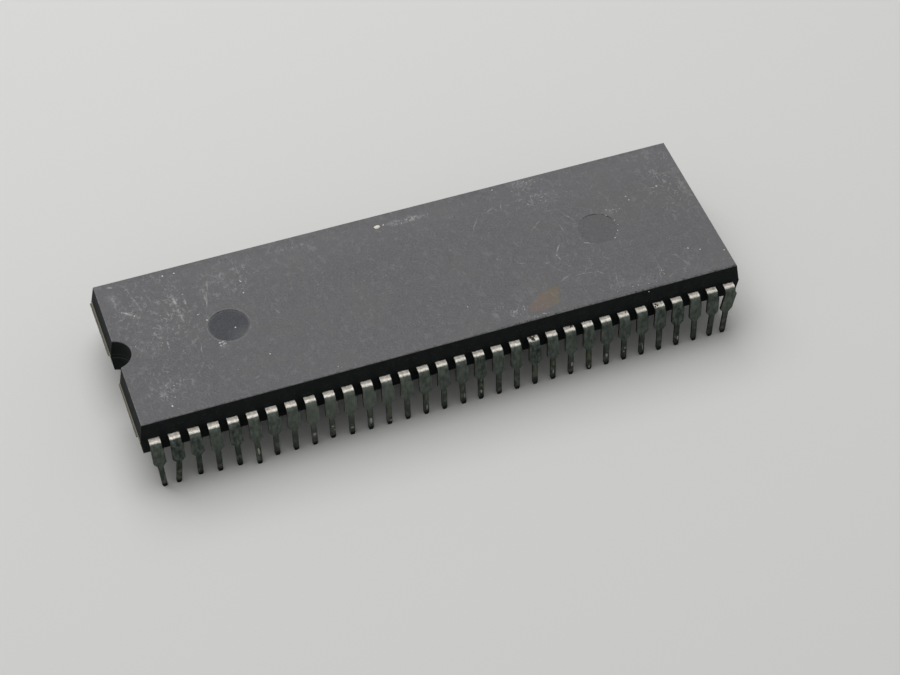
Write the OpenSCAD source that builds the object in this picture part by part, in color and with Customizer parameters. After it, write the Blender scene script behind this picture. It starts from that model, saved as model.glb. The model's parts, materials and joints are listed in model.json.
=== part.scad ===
// Dual in-line package with 64 leads on a shrink pitch, lifted from a board.
// It stands on its lead tips: the tips are at z = 0, the notched end is at -X,
// and lead 1 is the front one at that end. The leads are counted along the
// front row and back along the rear row.

/* [Package] */
// Leads in one row, an even number
leads_per_row = 32; // [24:2:36]
// Distance between neighbouring leads
lead_pitch = 1.778; // [1.7:0.001:2.2]
// Distance between the two rows of leads, at the middle of the bent strips
row_span = 19.05; // [18:0.05:24]
// Length of the body beyond the last lead's centre line
end_margin = 1.19; // [1:0.01:2]
// Length of bare shoulder from the body's side to the middle of the bent strip
shoulder_l = 0.775; // [0.65:0.005:1.2]
// Thickness of the moulded body
body_t = 4.0; // [3.4:0.1:5.5]
// Draft of the two long sides, in degrees
side_draft = 6; // [2:0.5:9]
// Draft of the two ends above the parting line, in degrees
end_draft = 9; // [2:0.5:12]
// Draft of the two ends below the parting line, in degrees
end_draft_low = 5; // [2:0.5:12]
// Radius of the rim round the top face and round the bottom face
rim_r = 0.12; // [0.05:0.01:0.25]
// Height of the body's underside above the lower ends of the leads' wide parts
standoff = 0.3; // [0.2:0.01:1]

/* [Notch and ejector marks] */
// Radius of the half-round notch that marks the end with lead 1
notch_r = 1.65; // [1:0.05:2]
// Diameter of the round marks that the mould's ejector pins left
mark_d = 3.8; // [2:0.1:5]
// Distance of each ejector mark from the middle of the body
mark_x = 18; // [10:0.5:20]
// Depth of the two marks at the notched end
mark_deep = 0.08; // [0.03:0.01:0.15]
// Depth of the two marks at the plain end
mark_shallow = 0.03; // [0.01:0.01:0.15]
// How far the thin fin of flash stands out of each end at the mould's parting line
flash_out = 0.06; // [0.02:0.01:0.1]
// Thickness of that fin
flash_t = 0.05; // [0.03:0.01:0.1]

/* [Leads] */
// Thickness of the lead frame's sheet
lead_t = 0.25; // [0.2:0.01:0.3]
// Width of a lead at its shoulder
lead_w = 1.0; // [0.8:0.01:1.1]
// Stub of the sheared dam bar that is left on a lead's +X edge
dam_right = 0.16; // [0.05:0.01:0.2]
// Stub of the sheared dam bar that is left on a lead's -X edge
dam_left = 0.02; // [0.01:0.01:0.2]
// Depth of the dam bar stubs' upper edge below the shoulder
dam_drop = 0.6; // [0.55:0.05:1.2]
// Inside radius of the bend
bend_r = 0.25; // [0.15:0.01:0.3]
// How far the rows lean outwards, in degrees
splay = 5; // [0:0.5:12]
// Width of the pin that goes into the board
pin_w = 0.5; // [0.4:0.01:0.6]
// Length of the pin, from the wide part's lower end to the tip
pin_l = 3.05; // [2.5:0.05:3.5]
// Height over which the wide part narrows to the pin
taper_h = 0.45; // [0.3:0.05:1]
// Width of the cut tip
tip_w = 0.3; // [0.2:0.01:0.4]
// Height of the chamfered tip
tip_h = 0.25; // [0.1:0.05:0.5]

/* [Lead frame inside the body] */
// Length of the wide part of a lead inside the body
tab_in = 0.65; // [0.4:0.05:0.7]
// Depth inside the body at which the fingers turn towards the middle
turn_in = 1.15; // [1.1:0.05:1.2]
// Width of a finger
finger_w = 0.24; // [0.18:0.01:0.26]
// Distance of the innermost finger from the tie bars
tie_gap = 0.18; // [0.15:0.01:0.25]
// Length of the die pad
pad_l = 8.8; // [7:0.1:9.5]
// Width of the die pad
pad_w = 6.6; // [6:0.1:7]
// How far the die pad is pressed down below the leads
pad_drop = 0.2; // [0.05:0.05:0.4]
// Gap between the die pad and the ends of the fingers
tip_gap = 0.5; // [0.4:0.05:0.7]
// Width of the tie bars that hold the die pad
tie_w = 0.3; // [0.2:0.05:0.4]
// Level stretch of a tie bar between the die pad and its rise
foot_l = 0.2; // [0.1:0.05:0.4]

/* [Die and bond wires] */
// Length of the silicon die
die_l = 5.4; // [4:0.1:6.5]
// Width of the silicon die
die_w = 5.0; // [4:0.1:5.6]
// Thickness of the die
die_t = 0.4; // [0.25:0.05:0.5]
// Thickness of the adhesive under the die
glue_t = 0.03; // [0.02:0.01:0.06]
// How far the adhesive spreads beyond the die
glue_out = 0.1; // [0.05:0.01:0.2]
// Diameter of a bond wire
wire_d = 0.03; // [0.025:0.001:0.04]
// Radius of a wire's loop, as a multiple of its span
wire_bow = 0.85; // [0.6:0.05:1]
// Diameter of the ball that joins a wire to the die
ball_d = 0.1; // [0.08:0.01:0.12]
// Height of that ball
ball_h = 0.04; // [0.04:0.01:0.06]
// Diameter of the flattened end that joins a wire to a finger
stitch_d = 0.1; // [0.08:0.01:0.12]
// Height of that flattened end
stitch_h = 0.04; // [0.04:0.01:0.06]
// Distance of the balls from the die's edge
ball_in = 0.15; // [0.12:0.01:0.3]
// Distance of a stitch from the end of its finger
stitch_in = 0.25; // [0.1:0.05:0.4]

/* [Hidden] */
// Leads knocked out of line in handling: number, throw of the wide part's lower
// end along +X, throw of the tip along +X, and throw of the tip away from the body
BENT = [[1, 0.05, 0.2, 0], [2, 0, -0.3, 0], [3, 0, 0, -0.2], [5, 0, 0.06, 0], [6, 0, 0, 0.4], [10, 0, 0, -0.2],
    [17, 0, 0.08, 0], [24, 0, 0.05, 0], [31, 0, -0.15, 0], [32, -0.38, -0.6, 0]];

// Room that the bent strip has on each side of a lead, for the lead's throw
STRIP_SPARE = 0.6;

per_side = leads_per_row / 2;
body_l = (leads_per_row - 1) * lead_pitch + 2 * end_margin;
body_w = row_span - 2 * shoulder_l;
seat_z = pin_l;
under_z = seat_z + standoff;
part_z = under_z + body_t / 2;
top_z = under_z + body_t;
lead_top = part_z + lead_t / 2;
lead_low = part_z - lead_t / 2;

bend_out = bend_r + lead_t;
bend_y = row_span / 2 + lead_t / 2 - bend_out;
bend_z = lead_top - bend_out;
dam_z = lead_top - dam_drop;
strip_w = lead_w + 2 * (max(dam_left, dam_right) + STRIP_SPARE);
leg_l = bend_z + 1;

turn_y = body_w / 2 - turn_in;
tab_y = body_w / 2 - tab_in;
neck_y = (tab_y + turn_y) / 2;
first_level = turn_y - 0.3;
last_level = tie_w / 2 + tie_gap + finger_w / 2;
tip_y = pad_w / 2 + tip_gap;
tip_x = pad_l / 2 + tip_gap;
pad_top = lead_top - pad_drop;
glue_top = pad_top + glue_t;
die_top = glue_top + die_t;

ROUND = 64;
WIRE_ROUND = 32;
LEAD_COLOR = "#b9b7ae";
GOLD = "#d9a441";

PAIRS = [for (n = [1:2:2 * leads_per_row]) str("leads_", n < 10 ? "0" : "", n, "_", n + 1 < 10 ? "0" : "", n + 1)];
FOURS = [for (n = [1:4:2 * leads_per_row]) str("bond_wires_", n < 10 ? "0" : "", n, "_", n + 3 < 10 ? "0" : "", n + 3)];

// Lead n is in the front row (side -1) up to leads_per_row, and then in the
// rear row (side +1), where the count runs back towards the notch.
function side(n) = n <= leads_per_row ? -1 : 1;
function column(n) = n <= leads_per_row ? n - 1 : 2 * leads_per_row - n;
function lead_x(n) = (column(n) - (leads_per_row - 1) / 2) * lead_pitch;
function wing(n) = lead_x(n) < 0 ? -1 : 1;
// Place of a lead in its quarter, counted from the middle of the body
function rank(n) = abs(column(n) - (leads_per_row - 1) / 2) - 0.5;
// Distance from the body's long axis at which finger k runs along the body
function level(k) = first_level - k * (first_level - last_level) / (per_side - 1);
function ends_on_long_side(k) = level(k) > tip_y + finger_w;
top_count = len([for (k = [0:per_side - 1]) if (ends_on_long_side(k)) k]);
function finger_end_x(k) = ends_on_long_side(k) ? (k + 0.5) * tip_x / top_count : tip_x;
function throws(n) = concat([for (b = BENT) if (b[0] == n) b], [[n, 0, 0, 0]])[0];

// Outline of a strip that follows a path, with mitred corners
function unit(v) = v / norm(v);
function left_of(v) = [-v[1], v[0]];
function normal_at(p, i) =
    i == 0 ? left_of(unit(p[1] - p[0])) :
    i == len(p) - 1 ? left_of(unit(p[i] - p[i - 1])) :
    let (a = left_of(unit(p[i] - p[i - 1])), b = left_of(unit(p[i + 1] - p[i])))
    (a + b) / (1 + a * b);
function ribbon(p, w) = concat(
    [for (i = [0:len(p) - 1]) p[i] + normal_at(p, i) * w / 2],
    [for (i = [len(p) - 1:-1:0]) p[i] - normal_at(p, i) * w / 2]);

// Way of finger k in the quarter with positive x and y
function finger_path(k) = let (x = (k + 0.5) * lead_pitch, h = level(k), e = finger_end_x(k))
    concat([[x, neck_y], [x, turn_y], [x - (turn_y - h), h], [e, h]],
        ends_on_long_side(k) ? [[e, tip_y]] : []);

// Middle of the bond on the die and of the bond on the finger, same quarter
function ball_xy(k) = ends_on_long_side(k)
    ? [(k + 0.5) * (die_l / 2 - ball_in) / top_count, die_w / 2 - ball_in]
    : [die_l / 2 - ball_in, (per_side - k - 0.5) * (die_w / 2 - ball_in) / (per_side - top_count)];
function stitch_xy(k) = ends_on_long_side(k)
    ? [finger_end_x(k), tip_y + stitch_in]
    : [tip_x + stitch_in, level(k)];

// Flat part of a lead: the wide tab at the body's side and the finger behind it
module lead_plan(n) {
    k = rank(n);
    x = (k + 0.5) * lead_pitch;
    scale([wing(n), side(n)]) {
        polygon([[x - lead_w / 2, bend_y], [x - lead_w / 2, tab_y], [x - finger_w / 2, neck_y],
            [x + finger_w / 2, neck_y], [x + lead_w / 2, tab_y], [x + lead_w / 2, bend_y]]);
        polygon(ribbon(finger_path(k), finger_w));
    }
}

module lead_flat(n) {
    translate([0, 0, lead_low]) linear_extrude(lead_t) lead_plan(n);
}

// Face of a lead as the press cuts it: shoulder, dam bar stubs, taper, pin and tip.
// The pin is centred on the wide part, stubs included.
module lead_face(n) {
    wide_dx = throws(n)[1];
    tip_dx = throws(n)[2];
    pin_z = seat_z - taper_h;
    wide_l = -lead_w / 2 - dam_left;
    wide_r = lead_w / 2 + dam_right;
    mid = (wide_l + wide_r) / 2;
    tip_mid = mid + tip_dx;
    pin_mid = mid + wide_dx;
    low_mid = tip_mid + (pin_mid - tip_mid) * tip_h / pin_z;
    polygon([
        [-lead_w / 2, top_z], [-lead_w / 2, dam_z], [wide_l, dam_z - dam_left], [wide_l + wide_dx, seat_z],
        [pin_mid - pin_w / 2, pin_z], [low_mid - pin_w / 2, tip_h], [tip_mid - tip_w / 2, 0],
        [tip_mid + tip_w / 2, 0], [low_mid + pin_w / 2, tip_h], [pin_mid + pin_w / 2, pin_z],
        [wide_r + wide_dx, seat_z], [wide_r, dam_z - dam_right], [lead_w / 2, dam_z], [lead_w / 2, top_z]]);
}

// Bent strip from the shoulder down, as wide as the lead's widest place
module lead_strip(lean) {
    translate([-strip_w / 2, bend_y, bend_z]) {
        rotate([90, 0, 90]) rotate_extrude(angle = 90 - lean, start = lean, $fn = ROUND)
            translate([bend_r, 0]) square([lead_t, strip_w]);
        rotate([lean, 0, 0]) translate([0, bend_r, -leg_l]) cube([strip_w, lead_t, leg_l]);
    }
}

module lead(n) {
    lean = splay + atan(throws(n)[3] / bend_z);
    translate([lead_x(n), 0, 0]) mirror([0, side(n) < 0 ? 1 : 0, 0]) intersection() {
        lead_strip(lean);
        translate([0, bend_y + leg_l, 0]) rotate([90, 0, 0]) linear_extrude(leg_l + 1) lead_face(n);
    }
    lead_flat(n);
}

module lead_pair(n) {
    color(LEAD_COLOR) {
        lead(n);
        lead(n + 1);
    }
}

// Bond wire: ball on the die, one loop, flattened end on the finger
module bond_wire(n) {
    k = rank(n);
    a = [ball_xy(k)[0] * wing(n), ball_xy(k)[1] * side(n)];
    b = [stitch_xy(k)[0] * wing(n), stitch_xy(k)[1] * side(n)];
    za = die_top + ball_h / 2;
    zb = lead_top + stitch_h / 2;
    span = norm(b - a);
    chord = [span, zb - za];
    r = wire_bow * norm(chord);
    c = [0, za] + chord / 2 - left_of(unit(chord)) * sqrt(r * r - chord * chord / 4);
    from = atan2(zb - c[1], span - c[0]);
    to = atan2(za - c[1], -c[0]);
    translate([a[0], a[1], die_top]) cylinder(d = ball_d, h = ball_h, $fn = WIRE_ROUND);
    translate([b[0], b[1], lead_top]) cylinder(d = stitch_d, h = stitch_h, $fn = WIRE_ROUND);
    translate([a[0], a[1], 0]) rotate([90, 0, atan2(b[1] - a[1], b[0] - a[0])])
        translate([c[0], c[1], 0]) rotate([0, 0, from])
            rotate_extrude(angle = to - from, $fn = ROUND) translate([r, 0]) circle(d = wire_d, $fn = WIRE_ROUND);
}

module wire_four(n) {
    color(GOLD) for (i = [0:3]) bond_wire(n + i);
}

// Die pad with a tie bar to each end; the bars rise to the level of the leads,
// and they were sheared off at the flash and at the notch's wall
module die_pad() {
    pad_mid = pad_top - lead_t / 2;
    foot_x = pad_l / 2 + foot_l;
    head_x = foot_x + pad_drop;
    end_x = body_l / 2 + flash_out;
    color(LEAD_COLOR) difference() {
        union() {
            pressed_strip([[-pad_l / 2, pad_mid], [pad_l / 2, pad_mid]], pad_w);
            pressed_strip([[-end_x, part_z], [-head_x, part_z], [-foot_x, pad_mid],
                [foot_x, pad_mid], [head_x, part_z], [end_x, part_z]], tie_w);
        }
        notch();
    }
}

// Strip of the lead frame's sheet, seen from the side as a path of its middle
module pressed_strip(path, width) {
    translate([0, width / 2, 0]) rotate([90, 0, 0]) linear_extrude(width) polygon(ribbon(path, lead_t));
}

module die_attach() {
    color("#8d9196") translate([-die_l / 2 - glue_out, -die_w / 2 - glue_out, pad_top])
        cube([die_l + 2 * glue_out, die_w + 2 * glue_out, glue_t]);
}

module die() {
    color("#4d4a57") translate([-die_l / 2, -die_w / 2, glue_top]) cube([die_l, die_w, die_t]);
}

// Section of the moulding: widest at the parting line, drafted to both faces
// (draft = [below, above]), with a rounded rim round each face
module drafted_section(width, draft) {
    h = body_t / 2;
    w = width / 2;
    for (s = [0, 1]) let (a = draft[s], cx = w - h * tan(a) - rim_r * (1 - sin(a)) / cos(a)) scale([1, 2 * s - 1]) {
        polygon([[-w, 0], [w, 0], [cx + rim_r * cos(a), h - rim_r + rim_r * sin(a)], [cx, h - rim_r],
            [cx, h], [-cx, h], [-cx, h - rim_r], [-cx - rim_r * cos(a), h - rim_r + rim_r * sin(a)]]);
        for (t = [-1, 1]) translate([t * cx, h - rim_r]) circle(r = rim_r, $fn = ROUND);
    }
}

module blank_body() {
    translate([0, 0, part_z]) intersection() {
        translate([0, body_w / 2, 0]) rotate([90, 0, 0]) linear_extrude(body_w)
            drafted_section(body_l, [end_draft_low, end_draft]);
        translate([-body_l / 2, 0, 0]) rotate([90, 0, 90]) linear_extrude(body_l)
            drafted_section(body_w, [side_draft, side_draft]);
    }
}

module flash_fins() {
    w = body_w - 2 * flash_t;
    l = body_l + 2 * flash_out;
    translate([-l / 2, -w / 2, part_z - flash_t / 2]) cube([l, w, flash_t]);
}

// Half-round notch through the end with lead 1
module notch() {
    translate([-body_l / 2, 0, under_z - 1]) cylinder(r = notch_r, h = body_t + 2, $fn = ROUND);
}

module ejector_marks() {
    over = 1;
    for (w = [-1, 1]) {
        deep = w < 0 ? mark_deep : mark_shallow;
        translate([w * mark_x, 0, top_z - deep]) cylinder(d = mark_d, h = deep + over, $fn = ROUND);
        translate([w * mark_x, 0, under_z - over]) cylinder(d = mark_d, h = deep + over, $fn = ROUND);
    }
}

module body() {
    color("#3c3d40") difference() {
        union() {
            blank_body();
            flash_fins();
        }
        notch();
        ejector_marks();
        for (n = [1:2 * leads_per_row]) lead_flat(n);
        for (n = [1:2 * leads_per_row]) bond_wire(n);
        die_pad();
        die_attach();
        die();
    }
}

body();
die_pad();
die_attach();
die();
for (i = [0:len(PAIRS) - 1]) lead_pair(2 * i + 1);
for (i = [0:len(FOURS) - 1]) wire_four(4 * i + 1);
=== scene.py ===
# %% [markdown]
# # A 64-lead package, lifted from a board
#
# The object is a moulded block of black epoxy with a row of 32 bent leads down
# each long side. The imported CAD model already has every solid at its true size.
# This file dresses it: it sets up the camera and a soft studio, gives each kind
# of surface its own material, and adds the small things that soldering and
# handling left behind, such as flux, solder and dust.

import json
import math
import random

import bpy
from mathutils import Matrix, Quaternion, Vector


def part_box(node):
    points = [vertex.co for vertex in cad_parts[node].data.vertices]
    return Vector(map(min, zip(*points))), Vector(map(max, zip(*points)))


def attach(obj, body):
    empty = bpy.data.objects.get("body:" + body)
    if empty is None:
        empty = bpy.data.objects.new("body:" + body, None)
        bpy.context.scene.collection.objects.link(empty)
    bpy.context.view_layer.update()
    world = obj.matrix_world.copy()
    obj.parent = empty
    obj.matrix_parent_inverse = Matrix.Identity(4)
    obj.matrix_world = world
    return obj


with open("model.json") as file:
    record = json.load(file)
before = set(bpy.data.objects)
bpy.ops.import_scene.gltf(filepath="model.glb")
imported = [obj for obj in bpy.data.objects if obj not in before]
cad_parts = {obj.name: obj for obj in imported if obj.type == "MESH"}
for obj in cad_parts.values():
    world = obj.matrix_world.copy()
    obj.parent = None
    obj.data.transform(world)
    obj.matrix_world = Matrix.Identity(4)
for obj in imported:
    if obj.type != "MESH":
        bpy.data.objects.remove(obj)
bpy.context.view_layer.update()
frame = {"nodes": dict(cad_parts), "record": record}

# %% [markdown]
# ## Sizes
#
# Blender works in metres, but a chip is easier to think about in millimetres.
# `MM` turns one into the other. The few sizes below name the places that the
# finishes and the residues need. What the frame can tell is read from the frame.

# %% Sizes and places
MM = 0.001
LEADS_PER_ROW = 32
LEAD_PITCH = 1.778

# The two ejector marks lie at this distance from the middle
MARK_X = 18.0
MARK_RADIUS = 1.9

body_low, body_high = (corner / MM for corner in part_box("body"))
TOP_Z = body_high.z
UNDER_Z = body_low.z
PART_Z = (TOP_Z + UNDER_Z) / 2


def lead_x(number):
    """Centre line of a front lead, counted from the notched end, in millimetres."""
    return (number - (LEADS_PER_ROW + 1) / 2) * LEAD_PITCH


print(f"Top at {TOP_Z:.2f} mm, underside at {UNDER_Z:.2f} mm, lead 1 at x = {lead_x(1):.2f} mm")

# %% [markdown]
# ## Two helpers for materials
#
# Colours are written as sRGB hex values, as a colour picker shows them, but
# shaders calculate in linear light. One function turns the first into the second.
# Another adds a node: its settings are keyword arguments, and its inputs are values,
# hex colours or other nodes' outputs, given in order or by name. It hands back one
# output, which can be fed to the next node at once.

# %% Colour and node helpers
def linear(hex_colour):
    """A hex colour such as '#68686a' as linear RGBA."""
    channels = [int(hex_colour[i:i + 2], 16) / 255 for i in (1, 3, 5)]
    return [c / 12.92 if c <= 0.04045 else ((c + 0.055) / 1.055) ** 2.4 for c in channels] + [1.0]


def add(tree, kind, inputs=(), output=0, **settings):
    """Adds one node with its settings, values and links, and returns one of its outputs."""
    new = tree.nodes.new("ShaderNode" + kind)
    for name, value in settings.items():
        setattr(new, name, value)
    for socket, value in (inputs.items() if isinstance(inputs, dict) else enumerate(inputs)):
        if isinstance(value, bpy.types.NodeSocket):
            tree.links.new(value, new.inputs[socket])
        else:
            new.inputs[socket].default_value = linear(value) if isinstance(value, str) else value
    return new.outputs[output]


def new_material(name, **sockets):
    """A material with one Principled shader, whose uniform values are set on its own sockets."""
    material = bpy.data.materials.new(name)
    material.use_nodes = True
    shader = material.node_tree.nodes["Principled BSDF"]
    for socket, value in sockets.items():
        shader.inputs[socket.replace("_", " ")].default_value = value
    return material, material.node_tree, shader


print("#68686a is", [round(c, 3) for c in linear("#68686a")])

# %% [markdown]
# ## Camera
#
# The photo looks down at about 50 degrees, a little from the notched end, through
# a long lens. The angles, the distance and the point on the top face that sits in
# the middle of the picture are all that a camera needs. The roll is the slight
# tilt of the hand. The turns are multiplied in the order in which a tripod head
# would make them: pan, tilt, roll.

# %% Camera
PAN, TILT, ROLL = 20.70, 49.53, 1.00
LOOK_AT = Vector((0.33, -8.01, TOP_Z))
DISTANCE = 204.64
SENSOR_WIDTH = 36
FOCAL_LENGTH = 90.96
CLIP_START = 10

turn = (
    Matrix.Rotation(math.radians(-PAN), 4, "Z")
    @ Matrix.Rotation(math.radians(90 - TILT), 4, "X")
    @ Matrix.Rotation(math.radians(ROLL), 4, "Z")
)
lens = bpy.data.cameras.new("camera")
lens.sensor_width = SENSOR_WIDTH
lens.lens = FOCAL_LENGTH
lens.clip_start = CLIP_START * MM
camera = bpy.data.objects.new("camera", lens)
bpy.context.collection.objects.link(camera)
camera.matrix_world = Matrix.Translation((LOOK_AT + turn @ Vector((0, 0, DISTANCE))) * MM) @ turn
bpy.context.scene.camera = camera
print("Camera at", [round(v / MM, 1) for v in camera.location], "mm")

# %% [markdown]
# ## Studio
#
# The photo's light comes from above and a little behind: it lies on the flat top
# and on the shoulders of the leads, while the front of every lead stays dark. One
# large soft box there does that. A plain grey world fills the shadows. Their sum
# is set so that a flat, upward surface renders at about the colour it is given.
#
# The floor is a large plain sheet. The world shows brighter to the camera and in
# reflections than it lights, so that a low view has a pale background too.

# %% Floor, soft box and world
FLOOR_SIZE = 1200
bpy.ops.mesh.primitive_plane_add(size=FLOOR_SIZE * MM, location=(0, 0, 0))
floor = bpy.context.object
floor.name = "floor"

# Uncoated paper: matt, with hardly any gloss
paper, _, sheet = new_material("uncoated_paper", Roughness=0.8, Specular_IOR_Level=0.2)
sheet.inputs["Base Color"].default_value = linear("#dcdcda")
floor.data.materials.append(paper)

SOFT_BOX_SIZE = 360
SOFT_BOX_RADIANCE = 2.75
SOFT_BOX_DIRECTION = Vector((-0.10, 0.42, 0.90)).normalized()
SOFT_BOX_DISTANCE = 380

# A flat lamp's power is its radiance times pi times its area
soft_box = bpy.data.lights.new("soft_box", "AREA")
soft_box.size = SOFT_BOX_SIZE * MM
soft_box.energy = SOFT_BOX_RADIANCE * math.pi * soft_box.size ** 2
lamp = bpy.data.objects.new("soft_box", soft_box)
bpy.context.collection.objects.link(lamp)
lamp.location = SOFT_BOX_DIRECTION * SOFT_BOX_DISTANCE * MM
lamp.rotation_euler = SOFT_BOX_DIRECTION.to_track_quat("Z", "Y").to_euler()

# The world's strength as a light, and as the camera and the reflections see it
FILL = 0.32
SHOWN = 0.86
world = bpy.data.worlds.new("studio")
bpy.context.scene.world = world
world.use_nodes = True
sky = world.node_tree
rays = add(sky, "LightPath").node.outputs
seen = add(sky, "Math", (rays["Is Camera Ray"], rays["Is Glossy Ray"]), operation="MAXIMUM")
seen = add(sky, "Math", (seen, rays["Is Transmission Ray"]), operation="MAXIMUM")
level = add(sky, "MapRange", {"Value": seen, "To Min": FILL, "To Max": SHOWN})
backdrop = sky.nodes["Background"]
sky.links.new(level, backdrop.inputs["Strength"])
backdrop.inputs["Color"].default_value = linear("#ffffff")
bpy.context.scene.view_settings.view_transform = "Standard"
print(f"Soft box {SOFT_BOX_SIZE} mm wide, fill {FILL}")

# %% [markdown]
# ## Patterns for worn plastic
#
# Scratches, stains and dust are the history of a surface. Each is a mask, a value
# from 0 to 1, made from the place on the object in millimetres.
#
# `patches` draws soft ellipses from a table. Stretched out, one is a scratch that
# thins towards both ends, which is what `scratch` is for. `ring` is the edge of a
# circle. `curls` follows the contour lines of a cloudy noise, which wander as hairs
# and rubbed marks do. `strewn` fills the plane with cells and draws one small stroke
# in each, turned by chance: a Voronoi texture gives the cell's middle and its random
# numbers. `grains` draws dots in the same way. `broken` interrupts a mask, as a
# scratch skips over a rough surface. `coats` lays colours over one another by masks.

# %% Pattern functions: shapes placed one by one
IGNORE_HEIGHT = 1000  # a patch reaches through the whole height of the piece


def millimetres(tree):
    """The place on the piece, in millimetres."""
    place = add(tree, "TexCoord", output="Object")
    return add(tree, "VectorMath", {0: place, "Scale": 1 / MM}, operation="SCALE")


def patches(tree, place, rows, edge=1.0):
    """Soft ellipses from rows of centre, half sizes, angle and strength. The strongest one shows."""
    result = None
    for centre, size, angle, strength in rows:
        reach = add(tree, "TexGradient", {"Vector": place}, "Fac", gradient_type="SPHERICAL")
        shape = reach.node.texture_mapping
        shape.vector_type = "TEXTURE"
        shape.translation = (*centre, 0)
        shape.rotation = (0, 0, math.radians(angle))
        shape.scale = (*size, IGNORE_HEIGHT)
        patch = add(tree, "MapRange", (reach, 0.0, edge, 0.0, strength))
        result = patch if result is None else add(tree, "Math", (result, patch), operation="MAXIMUM")
    return result


def scratch(start, end, width):
    """The row for `patches` that makes a scratch between two points."""
    run = Vector(end) - Vector(start)
    middle = (Vector(start) + Vector(end)) / 2
    return middle, (run.length / 2, width / 2), math.degrees(math.atan2(run.y, run.x)), 1.0


def ring(tree, place, centre, radius, width):
    """The edge of a circle on the top face."""
    offset = add(tree, "VectorMath", (place, (*centre, TOP_Z)), operation="SUBTRACT")
    reach = add(tree, "VectorMath", (offset,), "Value", operation="LENGTH")
    off_edge = add(tree, "Math", (reach, radius), operation="SUBTRACT")
    off_edge = add(tree, "Math", (off_edge,), operation="ABSOLUTE")
    return add(tree, "MapRange", (off_edge, width / 2, width / 4))


# %% Pattern functions: shapes strewn by chance
STROKE_CORE = 0.3  # the share of a stroke's half width that is at full strength
GRAIN_CORE = 0.4  # the same share of a grain's radius


def broken(tree, mask, place, lump, low, high):
    """Interrupts a mask with cloudy noise, from gone at its low level to whole at its high one."""
    cloud = add(tree, "TexNoise", {"Vector": place, "Scale": 1 / lump, "Detail": 3.0})
    kept = add(tree, "MapRange", (cloud, low, high))
    return add(tree, "Math", (mask, kept), operation="MULTIPLY")


def curls(tree, place, lump, thin, shift):
    """Hair-thin wandering lines round the lumps of a noise."""
    moved = add(tree, "VectorMath", (place, (shift, 2 * shift, 0)), operation="ADD")
    noise = {"Vector": moved, "Scale": 1 / lump, "Detail": 1.0, "Distortion": 0.7}
    cloud = add(tree, "TexNoise", noise)
    off_middle = add(tree, "Math", (cloud, 0.5), operation="SUBTRACT")
    off_middle = add(tree, "Math", (off_middle,), operation="ABSOLUTE")
    line = add(tree, "MapRange", (off_middle, thin, STROKE_CORE * thin))
    return broken(tree, line, moved, lump=0.6 * lump, low=0.48, high=0.6)


def strewn(tree, place, cell, length, width, lean, spread, share, bend, shift):
    """One bent stroke in a share of the cells, turned by lean plus or minus spread degrees."""
    moved = add(tree, "VectorMath", (place, (shift, 2 * shift, 0)), operation="ADD")
    voronoi = {"Vector": moved, "Scale": 1 / cell}
    cells = add(tree, "TexVoronoi", voronoi, voronoi_dimensions="2D").node.outputs
    chance = add(tree, "SeparateColor", (cells["Color"],)).node.outputs
    turn_range = (math.radians(lean - spread), math.radians(lean + spread))
    angle = add(tree, "MapRange", (chance["Red"], 0, 1, *turn_range))
    offset = add(tree, "VectorMath", (moved, cells["Position"]), operation="SUBTRACT")
    turned = add(tree, "VectorRotate", {"Vector": offset, "Angle": angle}, rotation_type="Z_AXIS")
    along, across, _ = add(tree, "SeparateXYZ", (turned,)).node.outputs
    along = add(tree, "Math", (along, 2 / length), operation="MULTIPLY")
    sag = add(tree, "Math", (along, along), operation="MULTIPLY")
    across = add(tree, "Math", (sag, bend * length, across), operation="MULTIPLY_ADD")
    across = add(tree, "Math", (across, 2 / width), operation="MULTIPLY")
    stroke = add(tree, "CombineXYZ", (along, across))
    reach = add(tree, "VectorMath", (stroke,), "Value", operation="LENGTH")
    line = add(tree, "MapRange", (reach, 1.0, STROKE_CORE, 0.0, chance["Blue"]))
    kept = add(tree, "Math", (chance["Green"], share), operation="LESS_THAN")
    return add(tree, "Math", (line, kept), operation="MULTIPLY")


def grains(tree, place, cell, radius, share):
    """One round grain in a share of the cells."""
    cells = add(tree, "TexVoronoi", {"Vector": place, "Scale": 1 / cell}).node.outputs
    dot = add(tree, "MapRange", (cells["Distance"], radius / cell, GRAIN_CORE * radius / cell))
    chance = add(tree, "SeparateColor", (cells["Color"],), "Green")
    kept = add(tree, "Math", (chance, share), operation="LESS_THAN")
    return add(tree, "Math", (dot, kept), operation="MULTIPLY")


# %% Pattern functions: coats of colour
MIX_A, MIX_B, MIX_RESULT = 6, 7, 2  # a Mix node's colour sockets


def coats(tree, ground, layers):
    """Lays coats over a ground colour, each given by its mask, its strength and its colour."""
    for mask, strength, colour in layers:
        share = add(tree, "Math", (mask, strength), operation="MULTIPLY")
        colours = {0: share, MIX_A: ground, MIX_B: colour}
        ground = add(tree, "Mix", colours, MIX_RESULT, data_type="RGBA")
    return ground


print("Patterns: patches, ring, curls, strewn, grains and coats")

# %% [markdown]
# ## Moulded epoxy
#
# The body is transfer-moulded epoxy filled with fine silica and coloured with
# carbon black. The mould's top and bottom faces were eroded by sparks, which
# leaves them matt. Their mid grey is partly that matt finish and partly painted
# sheen of the soft box overhead. The sides were ground smoother and keep the
# epoxy's near black. The two ejector pins had polished ends, so their round marks
# are smoother again and painted darker than the matt face, with less of its painted sheen.

# %% Moulded epoxy: ground colours
moulding, tree, epoxy = new_material("moulded_epoxy", IOR=1.5, Specular_IOR_Level=0.1)
place = millimetres(tree)
x, y, z = add(tree, "SeparateXYZ", (place,)).node.outputs
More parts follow.
